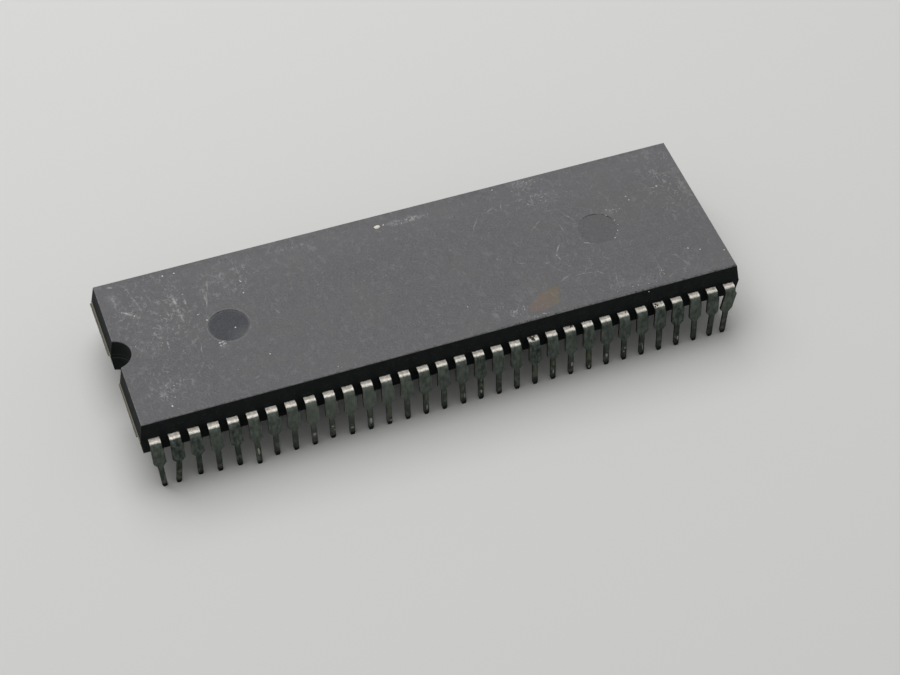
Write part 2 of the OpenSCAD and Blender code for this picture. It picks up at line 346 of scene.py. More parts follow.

# The grey of the two large faces, matt finish and painted sheen, fades in between these depths below
# them
RIM_DEPTH, RIM_FADE = 0.12, 0.084
top_face = add(tree, "MapRange", (z, TOP_Z - RIM_DEPTH, TOP_Z - RIM_FADE))
bottom_face = add(tree, "MapRange", (z, UNDER_Z + RIM_DEPTH, UNDER_Z + RIM_FADE))
matt_and_sheen = add(tree, "Math", (top_face, bottom_face), operation="MAXIMUM")

# The pits left by the sparks are about 0.02 mm wide, which is too fine to show. They are
# drawn eight times as coarse
PIT = 0.16
pits = add(tree, "TexNoise", {"Vector": place, "Scale": 1 / PIT, "Detail": 5.0, "Roughness": 0.6})
pits = add(tree, "MapRange", (pits, 0.3, 0.7))

# The colour drifts over several millimetres and is mottled over less than one
DRIFT = 6.0
drift = add(tree, "TexNoise", {"Vector": place, "Scale": 1 / DRIFT, "Detail": 3.0})
drift = add(tree, "MapRange", (drift, 0.35, 0.65))
MOTTLE = 0.8
mottle = add(tree, "TexNoise", {"Vector": place, "Scale": 1 / MOTTLE, "Detail": 4.0})
mottle = add(tree, "MapRange", (mottle, 0.35, 0.65))

# The face is a little paler towards the rear, with brown dirt in the pits along that edge
REAR = (3.5, 6.5)
REAR_EDGE = (7.2, 8.6)
rear = add(tree, "MapRange", (y, *REAR))
dirt = add(tree, "MapRange", (y, *REAR_EDGE))
dirt = broken(tree, dirt, place, lump=0.55, low=0.48, high=0.62)
# The top's mid grey ground is partly its matt finish and partly painted sheen of the soft box
top_colour = coats(tree, "#5e5e61", [
    (pits, 1.0, "#757577"),
    (drift, 0.3, "#726e6b"),
    (mottle, 0.25, "#5b5b60"),
    (rear, 0.2, "#747477"),
    (dirt, 0.3, "#544b46"),
])
side_grains = grains(tree, place, cell=0.4, radius=0.14, share=0.5)
side_colour = coats(tree, "#070a0a", [
    (pits, 0.7, "#151a1b"),
    (mottle, 0.6, "#181c1d"),
    (side_grains, 0.4, "#2b2f31"),
])
print("Ground colours set")

# %% Moulded epoxy: ejector marks and stain
# Centre, half sizes, angle and strength of each. The left mark's edge that is nearest the front
# and the plain end has worn soft
LEFT_MARK = ((-MARK_X, 0), (MARK_RADIUS, MARK_RADIUS), 0, 1.0)
RIGHT_MARK = ((MARK_X, 0), (MARK_RADIUS, MARK_RADIUS), 0, 1.0)
WORN_EDGE = ((-MARK_X + 1.2, -1.5), (1.9, 1.4), 0, 0.6)
left_mark = patches(tree, place, [LEFT_MARK], edge=0.10)
worn_edge = patches(tree, place, [WORN_EDGE])
left_mark = add(tree, "Math", (left_mark, worn_edge), operation="SUBTRACT")
right_mark = patches(tree, place, [RIGHT_MARK], edge=0.08)
left_colour = coats(tree, "#404145", [(pits, 1.0, "#525357"), (mottle, 0.3, "#3d3e43")])
right_colour = coats(tree, "#555557", [(pits, 1.0, "#676768")])

# The left mark's edge carries a broken pale ring of painted highlight, and the right one's far side
# a broken dark arc of painted shade, where its step faces away from the light
RING_WIDTH = 0.16
SHADED_FAR_SIDE = ((MARK_X + 0.67, 1.78), (1.7, 1.7), 0, 1.0)
highlight_ring = ring(tree, place, (-MARK_X, 0), MARK_RADIUS + RING_WIDTH / 2, RING_WIDTH)
highlight_ring = broken(tree, highlight_ring, place, lump=0.8, low=0.42, high=0.6)
shaded_far_side = patches(tree, place, [SHADED_FAR_SIDE], edge=0.3)
shade_arc = ring(tree, place, (MARK_X, 0), MARK_RADIUS, RING_WIDTH)
shade_arc = add(tree, "Math", (shade_arc, shaded_far_side), operation="MULTIPLY")
shade_arc = broken(tree, shade_arc, place, lump=0.6, low=0.42, high=0.52)

# A drop of flux dried near the front edge, redder at its left end. Noise bends its outline
STAIN = [
    ((9.5, -7.05), (1.25, 0.85), 20, 1.0),
    ((10.5, -6.55), (1.2, 1.0), 25, 1.0),
    ((11.15, -5.8), (0.95, 0.45), 20, 1.0),
]
RIGHT_END = (9.6, 10.9)
WANDER = 1.1
STAIN_BEND = 0.9
wander = add(tree, "TexNoise", {"Vector": place, "Scale": 1 / WANDER, "Detail": 3.0}, "Color")
wander = add(tree, "VectorMath", (wander, (0.5, 0.5, 0.5)), operation="SUBTRACT")
uneven = add(tree, "VectorMath", (wander, (STAIN_BEND,) * 3, place), operation="MULTIPLY_ADD")
stain = patches(tree, uneven, STAIN, edge=0.18)
right_end = add(tree, "MapRange", (x, *RIGHT_END))
stain_colour = coats(tree, "#796a62", [(right_end, 1.0, "#736b5c"), (pits, 0.25, "#86796c")])
top_colour = coats(tree, top_colour, [
    (left_mark, 1.0, left_colour),
    (right_mark, 0.8, right_colour),
    (highlight_ring, 0.3, "#929294"),
    (shade_arc, 0.7, "#2c2c2e"),
    (stain, 0.72, stain_colour),
])
print("Ejector marks and stain set")

# %% [markdown]
# ## Scuffs on the top
#
# Years of handling crushed the silica in pale scuffs. They are thickest at the
# notched end, where the package was gripped, and most of the strokes there run
# across the body. Three kinds of wear lie over one another: curls and fine scratches
# strewn by chance and thinned out by a map of worn regions, hazes where the surface
# is rubbed, and the scratches that stand out, which are placed one by one.

# %% Moulded epoxy: worn regions, curls and fine scratches
# Centre, half sizes, angle and strength
WORN = [
    ((-23.5, 3.0), (7.0, 8.0), 0, 1.0),
    ((-24.5, -4.5), (5.5, 4.5), 0, 0.8),
    ((-16.5, 5.5), (6.0, 4.0), 0, 0.85),
    ((-9.0, 7.3), (8.0, 2.0), 0, 0.55),
    ((1.6, 7.0), (2.6, 0.7), -3, 0.9),
    ((13.5, 6.3), (7.5, 3.2), 0, 0.7),
    ((14.5, -3.5), (6.5, 4.0), 0, 0.45),
    ((26.5, 3.5), (3.2, 7.0), 0, 0.9),
    ((20.0, -7.0), (9.0, 2.0), 0, 0.6),
    ((7.0, -6.8), (4.5, 2.0), 0, 0.65),
]
UNWORN_SHARE = 0.2
SCRATCH_BEND = 0.5

# Sizes in millimetres and angles in degrees, from the shortest strokes to the longest
FINE_SCRATCHES = [
    dict(cell=0.5, length=0.28, width=0.11, lean=90, spread=90, share=0.4, bend=0.05, shift=3.0),
    dict(cell=1.1, length=0.75, width=0.09, lean=92, spread=35, share=0.4, bend=0.10, shift=11.0),
    dict(cell=2.9, length=2.2, width=0.08, lean=92, spread=25, share=0.35, bend=0.06, shift=23.0),
]
worn = add(tree, "Math", (patches(tree, place, WORN), UNWORN_SHARE), operation="MAXIMUM")
bent = add(tree, "VectorMath", (wander, (SCRATCH_BEND,) * 3, place), operation="MULTIPLY_ADD")
# The second set of curls is drawn out across the body
drawn_out = add(tree, "VectorMath", (bent, (1.0, 0.5, 1.0)), operation="MULTIPLY")
fine = curls(tree, place, lump=0.9, thin=0.035, shift=5.0)
long_curls = curls(tree, drawn_out, lump=0.8, thin=0.03, shift=17.0)
fine = add(tree, "Math", (fine, long_curls), operation="MAXIMUM")
for layer in FINE_SCRATCHES:
    fine = add(tree, "Math", (fine, strewn(tree, bent, **layer)), operation="MAXIMUM")
fine = add(tree, "Math", (fine, worn), operation="MULTIPLY")
print(len(FINE_SCRATCHES), "layers of scratches over", len(WORN), "worn regions")

# %% Moulded epoxy: hazes and placed scratches
# Centre, half sizes, angle and strength
HAZES = [
    ((-27.0, 6.0), (0.6, 1.5), 5, 0.8), ((-26.2, 4.3), (0.9, 0.6), -42, 0.9),
    ((-21.9, 3.8), (0.6, 3.0), 0, 0.8), ((-25.3, -0.3), (1.6, 1.3), 0, 0.6),
    ((-26.8, -2.4), (1.2, 0.7), 0, 0.7), ((-25.0, -5.2), (2.4, 1.4), 0, 0.6),
    ((-19.1, 4.2), (0.6, 2.2), 0, 0.7), ((-17.0, 6.0), (1.4, 2.0), 0, 0.5),
    ((-24.5, 2.9), (3.0, 3.5), 0, 0.35), ((-19.0, -2.3), (0.7, 0.6), 0, 0.8),
    ((-21.8, 0.0), (0.4, 0.3), 0, 1.0),
    ((13.2, 7.9), (2.2, 0.7), 0, 0.6), ((14.7, 5.5), (1.5, 0.9), 0, 0.7),
    ((8.9, -5.3), (1.7, 1.2), 0, 0.5), ((8.2, -8.3), (1.8, 0.5), 0, 0.7),
    ((19.0, -7.5), (2.4, 0.6), -10, 0.6), ((27.9, 3.0), (0.7, 4.5), 0, 0.7),
    ((25.5, 7.5), (2.8, 0.9), 0, 0.6), ((17.3, -6.5), (0.7, 1.5), 10, 0.5),
    ((20.2, 1.8), (1.2, 0.8), 0, 0.5),
]
# Start, end and width
BRIGHT_SCRATCHES = [
    ((-26.7, 4.8), (-25.7, 3.8), 0.30), ((-21.8, 4.9), (-21.8, 3.9), 0.24),
    ((-23.8, 0.2), (-23.8, -1.0), 0.24),
    ((-19.3, -1.7), (-18.8, -2.1), 0.28), ((-19.1, 5.5), (-19.2, 2.6), 0.17),
    ((-27.5, 8.1), (-26.7, 7.8), 0.18),
    ((13.9, -0.5), (13.2, -1.7), 0.17), ((13.2, -1.5), (13.2, -2.6), 0.22),
    ((16.0, -1.0), (16.9, -1.7), 0.16), ((24.4, 3.35), (25.3, 3.2), 0.14),
    ((6.8, -6.7), (7.3, -7.4), 0.15), ((6.5, -7.2), (6.8, -7.7), 0.14),
    ((15.8, -4.8), (16.6, -5.6), 0.14),
]
FAINT_SCRATCHES = [
    ((-27.0, 7.2), (-27.1, 4.8), 0.32), ((-25.8, 7.9), (-24.8, 3.4), 0.20),
    ((-22.0, 6.4), (-21.7, 1.0), 0.28), ((-17.8, 7.6), (-19.8, 1.2), 0.17),
    ((-16.6, 7.2), (-17.5, 5.0), 0.18), ((-15.4, 7.3), (-15.3, 4.6), 0.17),
    ((-13.4, 0.6), (-13.2, -0.2), 0.18), ((-21.0, -0.8), (-21.2, -3.0), 0.18),
    ((-9.4, 8.1), (-9.8, 6.9), 0.18), ((-8.2, 7.6), (-8.3, 6.5), 0.16),
    ((-18.0, -6.8), (-16.7, -6.5), 0.16), ((6.8, 3.4), (7.8, 5.2), 0.16),
    ((8.7, 5.2), (9.8, 6.0), 0.18), ((10.6, 6.4), (10.2, 4.9), 0.16),
    ((11.6, 1.4), (13.7, 3.2), 0.16), ((13.9, 3.8), (15.4, 3.6), 0.17),
    ((15.3, 3.6), (16.5, 1.3), 0.18), ((14.7, 1.9), (15.0, 0.5), 0.16),
    ((9.4, -1.6), (10.0, -1.8), 0.16), ((11.2, -1.6), (13.1, -4.2), 0.15),
    ((12.0, -5.1), (13.6, -4.4), 0.18), ((13.5, -4.6), (15.9, -5.0), 0.15),
    ((23.0, -5.2), (23.9, -5.7), 0.18), ((23.7, -5.6), (24.7, -7.9), 0.15),
    ((17.5, -5.4), (17.1, -7.6), 0.14), ((-21.0, 4.9), (-20.9, 2.8), 0.24),
    ((-21.8, 3.5), (-21.8, 1.2), 0.22),
]
haze = broken(tree, patches(tree, place, HAZES), place, lump=0.4, low=0.44, high=0.66)
bright = patches(tree, bent, [scratch(*row) for row in BRIGHT_SCRATCHES], edge=0.8)
bright = broken(tree, bright, place, lump=0.3, low=0.34, high=0.54)
faint = patches(tree, bent, [scratch(*row) for row in FAINT_SCRATCHES], edge=0.8)
faint = broken(tree, faint, place, lump=0.3, low=0.36, high=0.58)

# The ejector marks lie lower than the face, which spares them most of the wear
SPARED_SHARE = 0.25
marked = add(tree, "Math", (left_mark, right_mark), operation="MAXIMUM")
spared = add(tree, "MapRange", (marked, 0.0, 1.0, 1.0, SPARED_SHARE))
pale_grains = grains(tree, place, cell=0.9, radius=0.10, share=0.35)
dark_grains = grains(tree, place, cell=0.7, radius=0.10, share=0.3)
scuffed = coats(tree, top_colour, [
    (dark_grains, 0.45, "#414143"),
    (pale_grains, 0.4, "#a09d96"),
    (haze, 0.42, "#a9a8a8"),
    (fine, 0.5, "#b2b1b0"),
    (faint, 0.4, "#b2b1b0"),
    (bright, 0.56, "#c4c3c0"),
])
top_colour = coats(tree, top_colour, [(spared, 1.0, scuffed)])

# A rubbed trail of wax beside the drop near the rear edge
TRAIL = [
    ((1.3, 7.03), (2.5, 0.42), -2, 0.9),
    ((1.7, 7.05), (1.4, 0.40), 4, 1.0),
    ((-1.5, 6.6), (0.25, 0.3), 0, 0.9),
]
trail = broken(tree, patches(tree, bent, TRAIL, edge=0.7), place, lump=0.25, low=0.42, high=0.60)
top_colour = coats(tree, top_colour, [(trail, 0.5, "#b4b5b8")])
print(len(HAZES), "hazes and", len(BRIGHT_SCRATCHES) + len(FAINT_SCRATCHES), "placed scratches")

# %% Moulded epoxy: rim, flash and shader
# Small chips break the right part of the front edge
CHIP_REACH, CHIP_FADE = 0.44, 0.30
RIGHT_PART = (1.0, 6.0)
front = add(tree, "MapRange", (y, body_low.y + CHIP_REACH, body_low.y + CHIP_FADE))
right_part = add(tree, "MapRange", (x, *RIGHT_PART))
front = add(tree, "Math", (front, right_part), operation="MULTIPLY")
chips = broken(tree, front, place, lump=0.15, low=0.50, high=0.56)
top_colour = coats(tree, top_colour, [(chips, 0.6, "#17191a")])

# The ejector marks lie below the matt face's own depth, so they are given its colour here
RECESS_REACH = MARK_RADIUS + 0.06
RECESSES = [((side * MARK_X, 0), (RECESS_REACH, RECESS_REACH), 0, 1.0) for side in (-1, 1)]
recess = patches(tree, place, RECESSES, edge=0.01)
upper_half = add(tree, "Math", (z, PART_Z), operation="GREATER_THAN")
recess = add(tree, "Math", (recess, upper_half), operation="MULTIPLY")
body_colour = coats(tree, side_colour, [(matt_and_sheen, 1.0, top_colour), (recess, 1.0, top_colour)])

# The rounded rim is painted paler, partly rubbed wear and partly painted highlight. The upward part
# of the surface's direction finds it: that is 1 on a flat face, 0 on an upright one, and between the
# two on the rounded rim
LEANING = (0.25, 0.6)
NOT_FLAT = (0.999, 0.9)
UPRIGHT = (0.5, 0.2)
facing = add(tree, "TexCoord", output="Normal")
upward = add(tree, "SeparateXYZ", (facing,), "Z")
leaning = add(tree, "MapRange", (upward, *LEANING))
not_flat = add(tree, "MapRange", (upward, *NOT_FLAT))
rim_wear_and_highlight = add(tree, "Math", (leaning, not_flat), operation="MULTIPLY")
rim_wear_and_highlight = broken(tree, rim_wear_and_highlight, place, lump=0.3, low=0.44, high=0.56)

# The steps down into the ejector marks are painted paler than their floors, as painted highlight
upright = add(tree, "MapRange", (upward, *UPRIGHT))
step_highlight = add(tree, "Math", (upright, recess), operation="MULTIPLY")
step_highlight = broken(tree, step_highlight, place, lump=0.5, low=0.25, high=0.5)

# Flash at the ends is thin enough to let the tan resin show, and the ledge it makes is painted paler
# still as painted highlight
FLASH_HALF, FLASH_FADE = 0.14, 0.084
END_DEPTH, END_FADE = 0.10, 0.08
off_middle = add(tree, "Math", (x,), operation="ABSOLUTE")
at_end = add(tree, "MapRange", (off_middle, body_high.x - END_DEPTH, body_high.x - END_FADE))
off_parting = add(tree, "Math", (z, PART_Z), operation="SUBTRACT")
off_parting = add(tree, "Math", (off_parting,), operation="ABSOLUTE")
at_parting = add(tree, "MapRange", (off_parting, FLASH_HALF, FLASH_FADE))
flash_and_highlight = add(tree, "Math", (at_end, at_parting), operation="MULTIPLY")
body_colour = coats(tree, body_colour, [
    (rim_wear_and_highlight, 0.9, "#858483"),
    (step_highlight, 0.9, "#a8a8aa"),
    (flash_and_highlight, 1.0, "#8a8677"),
])

# Two hairlines of flash cross the notch. Each has its height and its strength
SEAMS = [(PART_Z - 0.27, 0.8), (PART_Z + 0.20, 0.35)]
SEAM_HALF, SEAM_FADE = 0.06, 0.03
NOTCH_REACH = 1.75
NOTCH = ((body_low.x, 0), (NOTCH_REACH, NOTCH_REACH), 0, 1.0)
in_notch = patches(tree, place, [NOTCH], edge=0.03)
for height, strength in SEAMS:
    off_seam = add(tree, "Math", (z, height), operation="SUBTRACT")
    off_seam = add(tree, "Math", (off_seam,), operation="ABSOLUTE")
    seam = add(tree, "MapRange", (off_seam, SEAM_HALF, SEAM_FADE, 0.0, strength))
    seam = add(tree, "Math", (seam, in_notch), operation="MULTIPLY")
    body_colour = coats(tree, body_colour, [(seam, 0.7, "#4a4d49")])
tree.links.new(body_colour, epoxy.inputs["Base Color"])

MATT_ROUGHNESS, MARK_ROUGHNESS = 0.7, 0.5
PIT_DEPTH = 0.01
roughness = add(tree, "MapRange", (marked, 0.0, 1.0, MATT_ROUGHNESS, MARK_ROUGHNESS))
tree.links.new(roughness, epoxy.inputs["Roughness"])
bump = add(tree, "Bump", {"Height": pits, "Strength": 0.3, "Distance": PIT_DEPTH * MM})
tree.links.new(bump, epoxy.inputs["Normal"])
print("Epoxy has", len(tree.nodes), "nodes")

# %% [markdown]
# ## Tin-plated lead frame
#
# The leads were stamped from a copper alloy sheet and plated with tin. Plated tin
# is a soft white metal, grey and blotchy where it has oxidised. The shoulders and
# upper bends are painted pale cream as painted highlight of the soft box, and the
# fronts below are dull oxide painted darker as painted shade, with a slight green of
# painted reflection. The stamped edges were cut before plating and the dam bar's
# stubs after it, so bare alloy shows there with a brown tint. Next to the body a thin
# bleed of black resin covers the shoulder, darkened further as painted shade of the
# corner there. Near the tips the board's solder has wetted the pins.

# %% Tin-plated leads: fronts in painted shade and bends in painted highlight
leads_metal, tree, tin = new_material("tin_plated_alloy", Metallic=1.0)
place = millimetres(tree)
x, y, z = add(tree, "SeparateXYZ", (place,)).node.outputs

# Oxide blotches are drawn out down the lead, along the rolled strip
BLOTCH = 0.28
SPECK = 0.15
drawn_out = add(tree, "VectorMath", (place, (1.0, 1.0, 0.4)), operation="MULTIPLY")
blotch = add(tree, "TexNoise", {"Vector": drawn_out, "Scale": 1 / BLOTCH, "Detail": 4.0})
blotch = add(tree, "MapRange", (blotch, 0.35, 0.65))
speck = add(tree, "TexNoise", {"Vector": place, "Scale": 1 / SPECK, "Detail": 2.0})
dark_speck = add(tree, "MapRange", (speck, 0.55, 0.7))

# Each lead has its own tone, and the lower part of all is darker as painted shade
LOWER = (3.0, 1.9)
column = add(tree, "Math", (x, 1 / LEAD_PITCH), operation="MULTIPLY")
column = add(tree, "Math", (column,), operation="FLOOR")
tone = add(tree, "TexWhiteNoise", {"W": column}, "Value", noise_dimensions="1D")
shaded_lower = add(tree, "MapRange", (z, *LOWER))

# The leads left of the middle have weathered paler
WEATHERED_X = -9.0
WEATHERED_REACH = (12.0, 4.0)
weathered = add(tree, "Math", (x, -WEATHERED_X), operation="ADD")
weathered = add(tree, "Math", (weathered,), operation="ABSOLUTE")
weathered = add(tree, "MapRange", (weathered, *WEATHERED_REACH))
# The fronts are dull oxide, painted darker as painted shade and faintly green as painted reflection
dull_and_shaded = coats(tree, "#272e2a", [
    (blotch, 1.0, "#565e58"),
    (dark_speck, 0.6, "#1e2320"),
    (tone, 0.4, "#5c625b"),
    (weathered, 0.35, "#6c716a"),
    (shaded_lower, 0.45, "#20241f"),
])

# The plating is painted bright down to the upper part of the bend, with a ragged edge: a painted
# highlight of the soft box. It is spotted at the plain end
BRIGHT_Z = (5.44, 5.54)
BRIGHT_RAGGED = 0.14
PLAIN_END = (15.0, 22.0)
plain_end = add(tree, "MapRange", (x, *PLAIN_END))
spotted = add(tree, "Math", (dark_speck, plain_end), operation="MULTIPLY")
bright = coats(tree, "#d3cec3", [
    (blotch, 1.0, "#f6f2ea"),
    (dark_speck, 0.12, "#8f8a7c"),
    (spotted, 0.6, "#7a705a"),
])
ragged = add(tree, "Math", (speck, BRIGHT_RAGGED, z), operation="MULTIPLY_ADD")
lit_upper = add(tree, "MapRange", (ragged, *BRIGHT_Z))
print("Lead fronts and bends set")

# %% Tin-plated leads: edges, resin bleed, solder and shader
# The cut edges face along the row
CUT_EDGE = (0.5, 0.9)
facing = add(tree, "TexCoord", output="Normal")
sideways = add(tree, "SeparateXYZ", (facing,), "X")
sideways = add(tree, "Math", (sideways,), operation="ABSOLUTE")
cut_edge = add(tree, "MapRange", (sideways, *CUT_EDGE))

# The bleed of black resin, darkened further as painted shade of the corner against the body, is
# wider towards the plain end, where the mould had worn
BLEED_AND_SHADE_Y = (8.76, 8.69)
BLEED_AND_SHADE_GROWTH = 0.0015
BLEED_AND_SHADE_RAGGED = 0.20
across = add(tree, "Math", (y,), operation="ABSOLUTE")
across = add(tree, "Math", (x, -BLEED_AND_SHADE_GROWTH, across), operation="MULTIPLY_ADD")
across = add(tree, "Math", (speck, -BLEED_AND_SHADE_RAGGED, across), operation="MULTIPLY_ADD")
bleed_and_shade = add(tree, "MapRange", (across, *BLEED_AND_SHADE_Y))

# Solder has wetted parts of the pins, and the tips are darker
ON_PIN = (1.9, 1.5)
TIP = (0.5, 0.25)
on_pin = add(tree, "MapRange", (z, *ON_PIN))
wetted = broken(tree, on_pin, place, lump=0.6, low=0.50, high=0.56)
tip = add(tree, "MapRange", (z, *TIP))
metal_colour = coats(tree, dull_and_shaded, [
    (lit_upper, 1.0, bright),
    (cut_edge, 1.0, "#423b2d"),
    (bleed_and_shade, 0.95, "#100f0d"),
    (wetted, 0.7, "#62665e"),
    (tip, 1.0, "#1d1f1c"),
])
tree.links.new(metal_colour, tin.inputs["Base Color"])

DULL_ROUGHNESS, BRIGHT_ROUGHNESS = 0.5, 0.62
SOLDER_SMOOTHING = 0.15
OXIDE_DEPTH = 0.015
roughness = add(tree, "MapRange", (lit_upper, 0.0, 1.0, DULL_ROUGHNESS, BRIGHT_ROUGHNESS))
roughness = add(tree, "Math", (wetted, -SOLDER_SMOOTHING, roughness), operation="MULTIPLY_ADD")
tree.links.new(roughness, tin.inputs["Roughness"])
bump = add(tree, "Bump", {"Height": blotch, "Strength": 0.3, "Distance": OXIDE_DEPTH * MM})
tree.links.new(bump, tin.inputs["Normal"])
print("Tin has", len(tree.nodes), "nodes")

# %% [markdown]
# ## Inside the moulding
#
# Nothing of the inside shows, but the solids are there, and a cut-away view would
# show them. Each gets the finish of the real thing: etched and polished silicon
# with its grid of circuit blocks, an adhesive full of silver flakes, and drawn
# gold wire. The die pad was stamped with the leads and shares their metal.
#
# Many small things have a colour that drifts between two tones. `two_tone` makes such
# a material, here for the wire and later for each of the small pieces.

# %% Silicon, adhesive and gold
def two_tone(name, patch, first, second, **sockets):
    """A material whose colour drifts between two tones in patches of a size in millimetres."""
    material, tree, shader = new_material(name, **sockets)
    drift = add(tree, "TexNoise", {"Vector": millimetres(tree), "Scale": 1 / patch})
    tree.links.new(coats(tree, first, [(drift, 1.0, second)]), shader.inputs["Base Color"])
    return material


# Polished silicon: a dark mirror, with the circuit's blocks as faint coloured fields
silicon, tree, mirror = new_material("polished_silicon", Roughness=0.12, Metallic=0.6)
blocks = add(tree, "TexBrick", {
    "Vector": millimetres(tree),
    "Scale": 1.0,
    "Brick Width": 0.9,
    "Row Height": 0.5,
    "Mortar Size": 0.02,
    "Color1": "#4b4660",
    "Color2": "#3c4a55",
    "Mortar": "#8a8476",
})
tree.links.new(blocks, mirror.inputs["Base Color"])

# Adhesive filled with silver flakes, cured: a grey satin paste with glints of 0.03 mm
adhesive, tree, paste = new_material("silver_filled_adhesive", Roughness=0.5, Metallic=0.4)
FLAKE = 0.03
flakes = add(tree, "TexVoronoi", {"Vector": millimetres(tree), "Scale": 1 / FLAKE})
tree.links.new(coats(tree, "#a8abad", [(flakes, 1.0, "#74787b")]), paste.inputs["Base Color"])

# Drawn gold wire: smooth and warm, with faint lines from the die it was drawn through
DRAW_LINE = 0.05
gold = two_tone("drawn_gold_wire", DRAW_LINE, "#c98f33", "#e0b055", Roughness=0.25, Metallic=1.0)

FINISHES = {
    "moulding": moulding,
    "lead_frame": leads_metal,
    "adhesive": adhesive,
    "silicon": silicon,
    "gold_wire": gold,
}
slot_of = {part["node"]: part["material_slot"] for part in frame["record"]["subparts"]}
for name, piece in frame["nodes"].items():
    for slot in piece.material_slots:
        slot.material = FINISHES[slot_of[name]]
print(len(frame["nodes"]), "CAD nodes dressed in", len(FINISHES), "finishes")

# %% [markdown]
# ## Finding the surface
#
# Residues and dust sit on the object's own surfaces. Rather than working out where
# those are, a ray is shot at the object, down onto the top or level onto the front
# row, and the place where it lands comes back with the surface's direction.

# %% Ray helpers
START = 40  # the rays start well clear of the object
LEAD_NODES = sorted(name for name in frame["nodes"] if name.startswith("leads_"))


def land(origin, direction, names):
    """Where a ray in millimetres first meets one of the named nodes, with the surface's normal."""
    origin = Vector(origin)
    found = []
    for name in names:
        hit, at, normal, _ = frame["nodes"][name].ray_cast(origin * MM, Vector(direction))
        if hit:
            found.append(((at / MM - origin).length, at / MM, normal.copy()))
    return min(found, key=lambda landing: landing[0])[1:] if found else None


def on_top(px, py):
    """The top face under a place in plan."""
    return land((px, py, START), (0, 0, -1), ["body"])


def on_front(px, pz, names):
    """What faces the front at a place across and a height."""
    return land((px, -START, pz), (0, 1, 0), names)


print("Top at the middle:", [round(v, 2) for v in on_top(0, 0)[0]])

# %% [markdown]
# ## Lumps
#
# A dust grain, a flake and a bead of solder are all small lumps that differ in
# size, flatness and roughness. One is modelled for each kind: a coarse ball,
# its points jostled with a fixed seed, its underside cut flat where it sits. Then
# it is copied, scaled, turned and set on the surface. The copies' places are applied
# to their meshes, and the copies are joined.

# %% Modelling and placing lumps
SUNK = 0.2  # how far below its middle a lump is cut flat
SHARP_ANGLE = 40


def lump(name, jostle, seed, divisions):
    """A lump of radius 1 mm that sits on z = 0 by its flat underside."""
    bpy.ops.object.select_all(action="DESELECT")
    bpy.ops.mesh.primitive_ico_sphere_add(subdivisions=divisions, radius=MM, location=(0, 0, 0))
    piece = bpy.context.object
    piece.name = name
    bpy.ops.object.mode_set(mode="EDIT")
    bpy.ops.mesh.select_all(action="SELECT")
    bpy.ops.transform.vertex_random(offset=jostle * MM, uniform=0.3, normal=0.6, seed=seed)
    cut = (0, 0, -SUNK * MM)
    bpy.ops.mesh.bisect(plane_co=cut, plane_no=(0, 0, 1), use_fill=True, clear_inner=True)
    bpy.ops.mesh.select_all(action="SELECT")
    bpy.ops.mesh.normals_make_consistent(inside=False)
    bpy.ops.transform.translate(value=(0, 0, SUNK * MM))
    bpy.ops.object.mode_set(mode="OBJECT")
    return piece


def place_copies(master, name, seats, material):
    """Copies a lump to each seat of place, normal, half sizes and turn, and joins the copies."""
    bpy.ops.object.select_all(action="DESELECT")
    for at, normal, size, angle in seats:
        copy = master.copy()
        copy.data = master.data.copy()
        bpy.context.collection.objects.link(copy)
        copy.rotation_mode = "QUATERNION"
        spin = Quaternion((0, 0, 1), math.radians(angle))
        copy.rotation_quaternion = Vector(normal).to_track_quat("Z", "Y") @ spin
        copy.location = Vector(at) * MM
        copy.scale = size
        copy.select_set(True)
    bpy.context.view_layer.objects.active = copy
    bpy.ops.object.transform_apply(location=True, rotation=True, scale=True)
    bpy.ops.object.join()
    piece = bpy.context.object
    piece.name = name
    bpy.ops.object.shade_smooth_by_angle(angle=math.radians(SHARP_ANGLE))
    piece.data.materials.append(material)
    bpy.data.objects.remove(master)
    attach(piece, "root")
    print(name, "-", len(seats), "copies,", len(piece.data.polygons), "faces")


# %% [markdown]
# ## Dust on the top
#
# The white specks are single grains of dust, a tenth to a quarter of a millimetre
# across. They are placed one by one where the photo has them. Where the
# scratches are deep, flakes of crushed silica lie in clusters. A cream drop of dried
# wax near the rear edge has a faint trail of flakes to its right.

# %% Dust grains
# Mineral dust: broken grains, matt and nearly white
TONE = 0.5
dust = two_tone("mineral_dust", TONE, "#b5b2ab", "#eae8e2", Roughness=0.9, Specular_IOR_Level=0.2)

# Place in plan and width of each grain
GRAINS = [
    (-22.1, 7.7, 0.22), (-21.0, 7.7, 0.19), (-20.3, 2.1, 0.16), (-19.7, 1.2, 0.18),
    (-17.5, -0.4, 0.17), (-15.5, 4.7, 0.15), (-15.5, -4.5, 0.18), (-25.3, -7.4, 0.24),
    (-24.8, -6.5, 0.13), (-10.2, -7.9, 0.12), (10.4, 8.0, 0.17), (25.4, 3.3, 0.21),
    (22.1, 3.0, 0.15), (22.2, 2.5, 0.14), (25.0, -5.1, 0.17), (26.0, -5.6, 0.15),
    (28.1, -6.4, 0.16), (3.1, -5.1, 0.12), (7.7, -0.5, 0.12), (19.9, 0.5, 0.13),
    (19.7, -0.8, 0.14), (19.1, -1.6, 0.12), (-25.75, 3.85, 0.17), (-26.4, 4.4, 0.12),
    (20.0, -0.15, 0.10), (19.5, -1.15, 0.10), (19.4, 1.35, 0.09), (-15.65, 3.3, 0.16),
]
WALL_GRAIN = (19.57, 7.0, 0.14)  # across, height and width
GRAIN_HEIGHT = 0.5  # as a share of the half width
SEED = 64
chance = random.Random(SEED)
seats = []
for px, py, width in GRAINS:
    half = width / 2
    size = (half, half * chance.uniform(0.6, 1.0), half * GRAIN_HEIGHT)
    seats.append((*on_top(px, py), size, chance.uniform(0, 360)))
px, pz, width = WALL_GRAIN
half = width / 2
